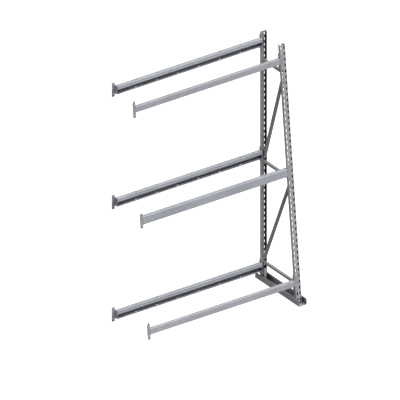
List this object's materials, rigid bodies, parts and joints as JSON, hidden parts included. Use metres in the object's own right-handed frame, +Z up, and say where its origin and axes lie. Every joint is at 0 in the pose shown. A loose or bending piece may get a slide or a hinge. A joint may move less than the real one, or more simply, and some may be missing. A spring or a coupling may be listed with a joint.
{
  "type": "storage rack add-on bay",
  "caption": "Add-on bay of a single-sided storage rack: one tapered slotted frame on a foot rail, with pairs of hook-in beams on three levels reaching to one side.",
  "frame": {"origin": "on the floor, under the centre of the bay's overall box", "axes": "+Z up; +X along the beams towards the frame; +Y from the leaning front upright to the vertical rear upright"},
  "size_m": [1.4816, 0.6, 2.2086],
  "materials": {
    "upright": "galvanised sheet, satin",
    "foot": "galvanised sheet, satin",
    "brace": "galvanised sheet, satin",
    "channel_beam": "galvanised sheet, satin",
    "tube_beam": "galvanised tube, satin",
    "connector": "galvanised plate, satin",
    "bracket": "galvanised plate, satin",
    "rivet": "zinc plated",
    "lock_pin": "zinc plated"
  },
  "bodies": {
    "bay": {"beam_front_bottom": "tube_beam", "beam_front_middle": "channel_beam", "beam_front_top": "tube_beam", "beam_rear_bottom": "channel_beam", "beam_rear_middle": "channel_beam", "beam_rear_top": "channel_beam", "connector_front_bottom_frame": "connector", "connector_front_bottom_free": "connector", "connector_front_middle_frame": "connector", "connector_front_middle_free": "connector", "connector_front_top_frame": "connector", "connector_front_top_free": "connector", "connector_rear_bottom_frame": "connector", "connector_rear_bottom_free": "connector", "connector_rear_middle_frame": "connector", "connector_rear_middle_free": "connector", "connector_rear_top_frame": "connector", "connector_rear_top_free": "connector", "diagonal_lower": "brace", "diagonal_upper": "brace", "foot_rail": "foot", "front_base_bracket": "bracket", "front_upright": "upright", "rear_base_bracket": "bracket", "rear_upright": "upright", "rivet_base_front": "rivet", "rivet_base_rear": "rivet", "rivet_diagonal_lower_front": "rivet", "rivet_diagonal_lower_rear": "rivet", "rivet_diagonal_upper_front": "rivet", "rivet_diagonal_upper_rear": "rivet", "rivet_strut_bottom_front": "rivet", "rivet_strut_bottom_rear": "rivet", "rivet_strut_middle_front": "rivet", "rivet_strut_middle_rear": "rivet", "rivet_strut_top_front": "rivet", "rivet_strut_top_rear": "rivet", "strut_bottom": "brace", "strut_middle": "brace", "strut_top": "brace"},
    "lock_pin_front_bottom": {"lock_pin_front_bottom": "lock_pin"},
    "lock_pin_front_middle": {"lock_pin_front_middle": "lock_pin"},
    "lock_pin_front_top": {"lock_pin_front_top": "lock_pin"},
    "lock_pin_rear_bottom": {"lock_pin_rear_bottom": "lock_pin"},
    "lock_pin_rear_middle": {"lock_pin_rear_middle": "lock_pin"},
    "lock_pin_rear_top": {"lock_pin_rear_top": "lock_pin"}
  },
  "joints": [
    {"name": "lock_pin_front_bottom_pull", "type": "slide", "parent": "bay", "child": "lock_pin_front_bottom", "axis": [0, -0.9945, 0.1045], "range_m": [0, 0.025]},
    {"name": "lock_pin_front_middle_pull", "type": "slide", "parent": "bay", "child": "lock_pin_front_middle", "axis": [0, -0.9945, 0.1045], "range_m": [0, 0.025]},
    {"name": "lock_pin_front_top_pull", "type": "slide", "parent": "bay", "child": "lock_pin_front_top", "axis": [0, -0.9945, 0.1045], "range_m": [0, 0.025]},
    {"name": "lock_pin_rear_bottom_pull", "type": "slide", "parent": "bay", "child": "lock_pin_rear_bottom", "axis": [0, 1, 0], "range_m": [0, 0.025]},
    {"name": "lock_pin_rear_middle_pull", "type": "slide", "parent": "bay", "child": "lock_pin_rear_middle", "axis": [0, 1, 0], "range_m": [0, 0.025]},
    {"name": "lock_pin_rear_top_pull", "type": "slide", "parent": "bay", "child": "lock_pin_rear_top", "axis": [0, 1, 0], "range_m": [0, 0.025]}
  ]
}
